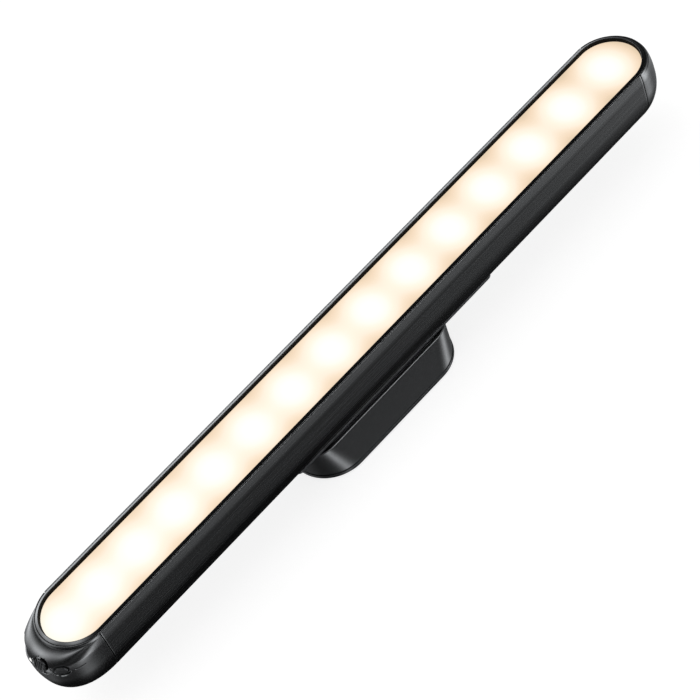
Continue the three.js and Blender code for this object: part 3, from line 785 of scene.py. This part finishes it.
def cap_skin(sign, shape, dense):
    """points of all rings from the rim down, and the number of points in a ring"""
    if dense:
        fractions = np.concatenate([
            np.linspace(0, 0.19, 26)[:-1],
            np.linspace(0.19, 0.80, 330),
            np.linspace(0.80, 1.0, 27)[1:],
        ])
    else:
        fractions = np.linspace(0, 1, 150)
    # extra points right at the seam carry its rounded edge
    at_seam = [0.0008, 0.002, 0.004, 0.996, 0.998, 0.9992]
    fractions = np.unique(np.concatenate([fractions, at_seam]))
    seam = SEAM_X + SEAM_GAP
    land_slope, land_end, land_blend = 0.65 / 0.4, 0.1, 0.03
    rings = []
    for depth, inset in cap_levels(dense):
        # the top land slopes away from the face and blends into the collar
        above = math.exp(min(40.0, (land_end - depth) / land_blend))
        land = land_slope * land_blend * math.log1p(above)
        ring = cap_ring(depth, shape, sign, seam, fractions, inset, land)
        rings.append(lift(ring, FACE_Z - depth))
    points = np.concatenate(rings)

    # rounded edge at the seam
    near = np.clip(1 - (np.abs(points[:, 0]) - seam) / 0.2, 0, 1)
    inset = 0.16 * (1 - np.sqrt(np.clip(1 - near * near, 0, 1)))
    scale = 1 - inset / MIDDLE_R
    middle_z = FACE_Z - MIDDLE_D
    points[:, 1] *= scale
    points[:, 2] = middle_z + (points[:, 2] - middle_z) * scale
    return points, len(fractions)


def end_cap(name, sign, shape, controls):
    """sign is the end of the lamp along X; a cap with controls has a denser skin"""
    points, count = cap_skin(sign, shape, dense=controls)
    if controls:
        for hollow in HOLLOWS:
            points = press(points, *hollow)
    rings = [points[i:i + count] for i in range(0, len(points), count)]
    obj = new_object("look_" + name, loft(rings[::-1]), offset=LAMP)

    cavity = []
    for depth in (22.7, 22.4, 21.6, 19.5, 16.5, 12.5, 8.5, 6.0, 4.2, 3.0):
        ring = cap_ring(depth, shape, sign, SEAM_X - 1.2, np.linspace(0, 1, 60),
                        width_inset=1.9, reach_inset=2.2)
        cavity.append(lift(ring, FACE_Z - depth))
    combine(obj, loft(cavity), offset=LAMP)
    pocket = prism(stadium(ARC_X, POCKET_R, 96), FACE_Z - 3.1, FACE_Z + 3)
    combine(obj, pocket, offset=LAMP)
    if controls:
        for place, length, width, radius, inside, outside in OPENINGS:
            hole = prism(round_rect(length, width, radius, 14), inside, outside)
            combine(obj, outwards(hole), offset=LAMP, place=place)
    finish(obj, "lamp", "cap_plastic", degrees=32)


end_cap("control_end_cap", -1, CONTROL_CAP, controls=True)
end_cap("plain_end_cap", 1, PLAIN_CAP, controls=False)


# ------------------------------------------------------------------ controls
# built upwards, then turned to face out of their station
def control(name, place, solid, body, slot, others=()):
    """others: (solid, boolean operation)"""
    obj = new_object("look_" + name, outwards(solid), offset=LAMP, place=place)
    for other, operation in others:
        combine(obj, outwards(other), operation, offset=LAMP, place=place)
    finish(obj, body, slot)


def usb_port():
    """steel shell with a flared mouth, and the tongue inside with its contact pads"""
    shell = stack(shrinking_rect(4.45, 1.6, 1.5, 16), fillet_levels(-8.8, -3.2, 0.1, 0.12, 4))
    bore_levels = [
        (-8.0, 0.0), (-3.5, 0.0), (-3.35, -0.03), (-3.25, -0.09), (-3.19, -0.18), (-2.8, -0.3),
    ]
    bore = stack(shrinking_rect(4.15, 1.3, 1.2, 16), bore_levels)
    control("usb_port_shell", USB, shell, "lamp", "bare_steel", [(bore, "DIFFERENCE")])

    tongue = stack(
        lambda inset: round_rect(3.3 - inset, 0.35 - inset * 0.8, 0.2, 4),
        fillet_levels(-7.8, -3.9, 0.03, 0.12, 4),
    )
    pads = []
    for k in range(5):
        outline = round_rect(0.2, 0.4, 0.05, 2, centre=((k - 2) * 1.15, 0.0))
        pads.append((prism(outline, -6.2, -4.4), "UNION"))
    control("usb_port_tongue", USB, tongue, "lamp", "black_plastic", pads)


def light_pipe():
    """pin with a domed tip"""
    profile = [(0, -2.4), (0.72, -2.4), (0.8, -2.3), (0.8, -0.3)]
    profile += arc(0.5, -0.3, 0.3, 0, 60, 5)
    profile += [(0.45, 0.03), (0.25, 0.06), (0, 0.07)]
    control("indicator_light_pipe", PIPE, lathe(profile, 40), "lamp", "clear_plastic")


def mode_slider():
    """plate and ribs lean with the tilted face; the stem runs straight in"""
    plate = stack(shrinking_rect(2.0, 2.5, 1.85, 16), fillet_levels(-1.15, -0.3, 0.08, 0.24))
    obj = new_object("look_mode_slider", outwards(plate), offset=LAMP, place=SLIDER_FACE)
    rib_levels = [
        (-0.6, -0.06), (-0.25, -0.03), (-0.1, 0.0), (0.0, 0.02), (0.08, 0.06),
        (0.13, 0.11), (0.155, 0.18),
    ]
    for y, height in ((-1.35, 1.6), (-0.45, 2.15), (0.45, 2.15), (1.35, 1.6)):
        rib = stack(shrinking_rect(0.25, height, 0.24, 6, centre=(y, 0.0)), rib_levels)
        combine(obj, outwards(rib), "UNION", offset=LAMP, place=SLIDER_FACE)
    stem = prism(round_rect(0.55, 0.5, 0.15, 3), -5.2, -0.8)
    combine(obj, outwards(stem), "UNION", offset=LAMP, place=SLIDER)
    finish(obj, "slider", "knob_plastic")


def power_button():
    """button with a shallow crown, and the flange behind it"""
    shoulder, edge = -0.42, 0.3
    levels = [(-3.7, 0.0), (shoulder, 0.0)]
    levels += [
        (shoulder + edge * math.sin(a), edge * (1 - math.cos(a)))
        for a in np.radians([15, 30, 45, 60, 75, 85])
    ]
    levels += [(-0.1, 0.45), (-0.06, 0.65), (-0.03, 0.9), (-0.015, 1.2)]
    button = stack(
        lambda inset: round_rect(2.35 - inset, 1.8 - inset, max(0.1, 1.7 - inset), 14), levels
    )
    flange = prism(round_rect(2.8, 1.6, 0.4, 4), -4.2, -3.6)
    control("power_button", BUTTON, button, "button", "knob_plastic", [(flange, "UNION")])


usb_port()
light_pipe()
mode_slider()
power_button()


# ------------------------------------------------------------------ screws
def thread(bottom, limit, root_r, crest_r, crest_rise, root_rise, pitch):
    """profile of the threads that start below the limit"""
    points = []
    z = bottom
    while z < limit:
        points += [(root_r, z), (crest_r, z + crest_rise), (root_r, z + root_rise)]
        z += pitch
    return points


def screw(name, profile, centre, mouth, floor, slot_size, body):
    """screw with its head down; the cross recess tapers from mouth up to floor"""
    obj = new_object("look_" + name, lathe(profile, 56, centre))
    for length, width in (slot_size, slot_size[::-1]):
        arm = [
            lift(round_rect(length * s, width * (0.55 + 0.45 * s), 0.08, 3, centre), z)
            for z, s in ((mouth, 1.0), (floor, 0.45))
        ]
        combine(obj, loft(arm))
    finish(obj, body, "bare_steel")


# ------------------------------------------------------------------ steel plate under the lamp
def steel_back_plate():
    plate = stack(
        shrinking_rect(55.7, 11.4, 2.5, 16, centre=(2.2, 0.0)),
        fillet_levels(PLATE_BOTTOM, PLATE_TOP, 0.25, 0.18, 5),
    )
    obj = new_object("look_steel_back_plate", plate, offset=LAMP)
    countersink = [
        (0, PLATE_BOTTOM - 0.5), (3.15, PLATE_BOTTOM - 0.5), (2.75, PLATE_BOTTOM - 0.05),
        (PLATE_HOLE_R, PLATE_BOTTOM + 1.1), (PLATE_HOLE_R, 18), (0, 18),
    ]
    for x in PLATE_SCREWS_X:
        combine(obj, lathe(countersink, 48, (x, 0)), offset=LAMP)
    finish(obj, "lamp", "plate_black")


def back_plate_screws():
    z = PLATE_BOTTOM + 0.02
    profile = [
        (0, z), (1.2, z), (2.05, z + 0.02), (2.2, z + 0.08), (2.15, z + 0.2), (1.05, z + 1.1),
    ]
    profile += thread(z + 1.15, z + 3.6, root_r=1.05, crest_r=1.19,
                      crest_rise=0.12, root_rise=0.25, pitch=0.35)
    profile += [(0.5, z + 4.2), (0, z + 4.2)]
    for i, x in enumerate(PLATE_SCREWS_X, 1):
        screw(f"back_plate_screw_{i}", profile, (x + LAMP_X, 0.0),
              mouth=z - 0.3, floor=z + 0.75, slot_size=(1.3, 0.3), body="lamp")


steel_back_plate()
back_plate_screws()


# ------------------------------------------------------------------ base
def shell_ring(z, inset, seg):
    """plan outline of the tapering shell"""
    t = (z - SHELL_BOTTOM) / (SHELL_TOP - SHELL_BOTTOM)
    length = SHELL_LENGTH + SHELL_LENGTH_GAIN * t - inset
    width = SHELL_FOOT_W + (SHELL_TOP_W - SHELL_FOOT_W) * t - inset
    radius = SHELL_FOOT_R + (SHELL_TOP_R - SHELL_FOOT_R) * t - inset
    return round_rect(length, width, min(radius, width - 0.02), seg)


def base_shell():
    top_edge = 0.6
    rises = ((0, 0.15), (0.03, 0.08), (0.08, 0.03), (0.17, 0.0), (0.6, 0.0))
    levels = [(SHELL_BOTTOM + rise, inset) for rise, inset in rises]
    levels += [(z, 0.0) for z in np.linspace(3.6, 14.0, 14)]
    levels += [
        (SHELL_TOP - top_edge + top_edge * math.sin(a), top_edge * (1 - math.cos(a)))
        for a in quarter(8)
    ]
    obj = new_object("look_base_shell", loft([lift(shell_ring(z, i, 28), z) for z, i in levels]))
    foot = shell_ring(SHELL_BOTTOM, 1.8, 16)
    roof = shell_ring(SHELL_CAVITY_TOP, 1.9, 16)
    combine(obj, loft([
        lift(foot, SHELL_BOTTOM - 1), lift(foot, SHELL_BOTTOM), lift(roof, SHELL_CAVITY_TOP),
    ]))
    for x, y in BOSSES:
        combine(obj, prism(circle(2.6, 32, x, y), SHELL_BOTTOM + 0.2, 14.2), "UNION")
        combine(obj, prism(circle(1.15, 24, x, y), 1.0, 11.0))
    well = [
        (0, 12), (WELL_R, 12), (WELL_R, SHELL_TOP - 0.2), (WELL_R + 0.03, SHELL_TOP - 0.1),
        (WELL_R + 0.1, SHELL_TOP - 0.03), (WELL_R + 0.25, SHELL_TOP + 0.02),
        (WELL_R + 0.9, SHELL_TOP + 1.5), (0, SHELL_TOP + 1.5),
    ]
    combine(obj, lathe(well, 96))
    finish(obj, "base", "base_plastic")


def base_bottom_plate():
    plate = stack(
        shrinking_rect(39.95, 16.6, 16.4, 28), fillet_levels(PAD_TOP, BASE_PLATE_TOP, 0.25, 0.2)
    )
    obj = new_object("look_base_bottom_plate", plate)
    hole = [(0, 0), (2.6, 0), (2.5, 0.7), (2.5, 1.35), (1.35, 1.36), (1.35, 3), (0, 3)]
    for boss in BOSSES:
        combine(obj, lathe(hole, 40, boss))
    finish(obj, "base", "base_plastic")


def base_screws():
    z = 0.78
    profile = [
        (0, z), (1.6, z), (1.95, z + 0.05), (2.08, z + 0.16), (2.1, z + 0.3),
        (2.1, z + 0.5), (0.95, z + 0.52),
    ]
    profile += thread(z + 0.7, z + 6.2, root_r=0.92, crest_r=1.08,
                      crest_rise=0.14, root_rise=0.28, pitch=0.45)
    profile += [(0.4, z + 7.3), (0, z + 7.4)]
    for i, boss in enumerate(BOSSES, 1):
        screw(f"base_screw_{i}", profile, boss,
              mouth=z - 0.2, floor=z + 0.4, slot_size=(1.2, 0.27), body="base")


def adhesive_pad():
    """foam with a slightly bulged, ragged edge"""
    rng = np.random.default_rng(7)
    outline = round_rect(38.6, 15.3, 15.1, 60)
    radial = outline / np.linalg.norm(outline, axis=1)[:, None]
    rings = []
    for z in np.linspace(0, PAD_TOP, 5):
        bulge = 0.06 * math.sin(math.pi * z / PAD_TOP)
        raggedness = 0.03 if 0 < z < PAD_TOP else 0.02
        jitter = raggedness * rng.standard_normal(len(outline))
        rings.append(lift(outline + radial * (bulge + jitter)[:, None], z))
    finish(new_object("look_adhesive_pad", loft(rings)), "base", "foam_tape")


def grip_pad():
    levels = fillet_levels(SHELL_TOP, SHELL_TOP + 0.3, 0.0, 0.14, 5)
    obj = new_object("look_grip_pad", stack(shrinking_rect(36, 11.6, 10, 28), levels))
    hole = [
        (0, 14), (WELL_R, 14), (WELL_R, SHELL_TOP + 0.2), (WELL_R + 0.06, SHELL_TOP + 0.27),
        (WELL_R + 0.2, SHELL_TOP + 0.32), (WELL_R + 0.3, 17), (0, 17),
    ]
    combine(obj, lathe(hole, 96))
    finish(obj, "base", "grip_rubber")


def magnet(name, body, radius, bottom, top, edge, seg, x=0.0):
    """disc with rounded edges"""
    profile = [(0, bottom), (radius - edge, bottom)]
    profile += arc(radius - edge, bottom + edge, edge, -90, 0, 6)[1:]
    profile += arc(radius - edge, top - edge, edge, 0, 90, 6)
    profile += [(0, top)]
    finish(new_object("look_" + name, lathe(profile, seg, (x, 0.0))), body, "magnet_nickel")


base_shell()
base_bottom_plate()
base_screws()
adhesive_pad()
grip_pad()
magnet("swivel_magnet", "magnet", radius=10.0, bottom=9.0, top=15.75, edge=0.35, seg=96)
for name, x in (("side_magnet_1", -19.5), ("side_magnet_2", 19.5)):
    magnet(name, "base", radius=6.5, bottom=8.9, top=13.7, edge=0.3, seg=72, x=x)


# ------------------------------------------------------------------ floor
FLOOR_GLOW = 0.79  # added for the camera only


def floor():
    """pale sheet just under the pad, clear from below and absent from reflections"""
    half, z = 6000.0, -0.1
    corners = [(-half, -half, z), (half, -half, z), (half, half, z), (-half, half, z)]
    obj = new_object("floor", (corners, [(0, 1, 2, 3)]))
    material = bpy.data.materials.new("mat_floor")
    tree, output = empty_tree(material, "ShaderNodeOutputMaterial")
    position = node(tree, "ShaderNodeTexCoord").outputs["Object"]
    mottle = noise(tree, position, scale=30, detail=3)
    colour = blend(tree, grey(0.44), grey(0.46), mottle)
    matt = node(tree, "ShaderNodeBsdfDiffuse", {"Color": colour}).outputs[0]
    glow = node(tree, "ShaderNodeEmission", {"Color": grey(1), "Strength": FLOOR_GLOW}).outputs[0]
    seen = node(tree, "ShaderNodeLightPath").outputs["Is Camera Ray"]
    lit = node(tree, "ShaderNodeAddShader", {0: matt, 1: glow}).outputs[0]
    top = node(tree, "ShaderNodeMixShader", {0: seen, 1: matt, 2: lit}).outputs[0]
    clear = node(tree, "ShaderNodeBsdfTransparent").outputs[0]
    below = node(tree, "ShaderNodeNewGeometry").outputs["Backfacing"]
    surface = node(tree, "ShaderNodeMixShader", {0: below, 1: top, 2: clear}).outputs[0]
    tree.links.new(surface, output.inputs[0])
    obj.data.materials.append(material)
    obj.visible_glossy = False


floor()

# ------------------------------------------------------------------ studio surroundings
# brightness of the room by the height of the direction: -1 straight down, 1 straight up
ROOM = [
    (-1.0, 0.006), (-0.92, 0.008), (-0.84, 0.03), (-0.75, 0.17), (-0.62, 0.45), (-0.5, 0.95),
    (-0.42, 0.5), (-0.33, 0.22), (-0.15, 0.18), (0.1, 0.15), (0.4, 0.10), (0.75, 0.03),
    (1.0, 0.05),
]
# soft spots: direction, long axis, half width along it, half width across it, radiance
SOFTBOXES = [
    ((-0.22, -0.90, -0.38), (0.03, -0.38, 0.9), 0.36, 0.13, 6.5),  # -Y, low
    ((0.69, -0.60, -0.40), (0.0, -0.5, 0.8), 0.32, 0.15, 6.0),  # +X -Y, low
    ((-0.10, 0.96, 0.26), (1.0, 0.1, 0.0), 0.28, 0.28, 6.0),  # +Y, a little up
    ((-0.45, 0.58, 0.68), (1.0, 0.6, -0.2), 0.28, 0.28, 6.0),  # -X +Y, high
    ((-0.36, 0.0, 0.93), (1.0, 0.3, 0.3), 0.20, 0.22, 5.0),  # overhead, towards -X
    ((0.32, -0.72, 0.56), (1.0, 0.0, 0.0), 0.40, 0.15, 12.0),  # -Y, high
    ((0.31, 0.95, -0.07), (1.0, 0.0, 0.0), 0.30, 0.24, 3.0),  # +Y, level
    ((-0.77, 0.36, -0.50), (0.3, 1.0, 0.0), 0.26, 0.22, 2.2),  # -X, low
]
AMBIENT = 0.5  # even level that lights matt surfaces


def softbox(tree, direction, centre, long_axis, half_long, half_cross, radiance):
    centre = Vector(centre).normalized()
    along = Vector(long_axis)
    along = (along - centre * along.dot(centre)).normalized()
    cross = centre.cross(along)

    def component(axis):
        return vector_calc(tree, "DOT_PRODUCT", direction, tuple(axis))

    u = calc(tree, "DIVIDE", component(along), half_long)
    v = calc(tree, "DIVIDE", component(cross), half_cross)
    squared = calc(tree, "MULTIPLY_ADD", u, u, calc(tree, "MULTIPLY", v, v))
    spot = calc(tree, "EXPONENT", calc(tree, "MULTIPLY", squared, -1.0))
    front = calc(tree, "GREATER_THAN", component(centre), 0.0)
    return calc(tree, "MULTIPLY", calc(tree, "MULTIPLY", spot, front), radiance)


def studio():
    """white to the camera, even to matt surfaces, room and softboxes to reflections"""
    world = bpy.data.worlds.new("studio")
    bpy.context.scene.world = world
    tree, output = empty_tree(world, "ShaderNodeOutputWorld")
    direction = node(tree, "ShaderNodeTexCoord").outputs["Generated"]
    height = remap(tree, separate(tree, direction)[2], source=(-1.0, 1.0), target=(0.0, 1.0))
    stops = [((z + 1) / 2, grey(level)) for z, level in ROOM]
    room = colour_ramp(tree, height, stops)
    total = node(tree, "ShaderNodeRGBToBW", {0: room}).outputs[0]
    for box in SOFTBOXES:
        total = calc(tree, "ADD", total, softbox(tree, direction, *box))
    ray = node(tree, "ShaderNodeLightPath").outputs
    reflected = node(tree, "ShaderNodeCombineColor", {  # slightly cool
        0: calc(tree, "MULTIPLY", total, 0.97), 1: total, 2: calc(tree, "MULTIPLY", total, 1.03),
    }).outputs[0]
    lit = blend(tree, grey(AMBIENT), reflected, ray["Is Glossy Ray"])
    lit = blend(tree, lit, grey(1.0), ray["Is Camera Ray"])
    background = node(tree, "ShaderNodeBackground", {"Color": lit, "Strength": 1.0})
    tree.links.new(background.outputs[0], output.inputs[0])


def overhead_panel():
    """one broad panel for the faint floor shadow, aimed at the origin"""
    panel = bpy.data.lights.new("panel", "AREA")
    panel.shape = "RECTANGLE"
    panel.size, panel.size_y = 1.2, 0.9
    panel.energy = 3.0
    obj = add_object("panel", panel)
    obj.location = (-0.35, 0.25, 1.3)
    obj.rotation_euler = (-obj.location).to_track_quat("-Z", "Y").to_euler()
    obj.visible_glossy = False
    obj.visible_camera = False


def camera():
    lens = bpy.data.cameras.new("camera")
    lens.sensor_width = 36.0
    lens.sensor_fit = "HORIZONTAL"
    lens.lens = 125.32
    lens.clip_start, lens.clip_end = 0.05, 20.0
    obj = add_object("camera", lens)
    obj.matrix_world = Matrix((
        (0.66227213, -0.70024317, -0.2665617, 0),  # right
        (0.68068286, 0.41359853, 0.60465453, 0),  # up
        (-0.31315568, -0.58188982, 0.7505583, 0),  # back
        (-0.28543, -0.53005, 0.71645, 1),  # position
    )).transposed()
    scene = bpy.context.scene
    scene.camera = obj
    scene.view_settings.view_transform = "Standard"
    scene.view_settings.look = "None"


studio()
overhead_panel()
camera()
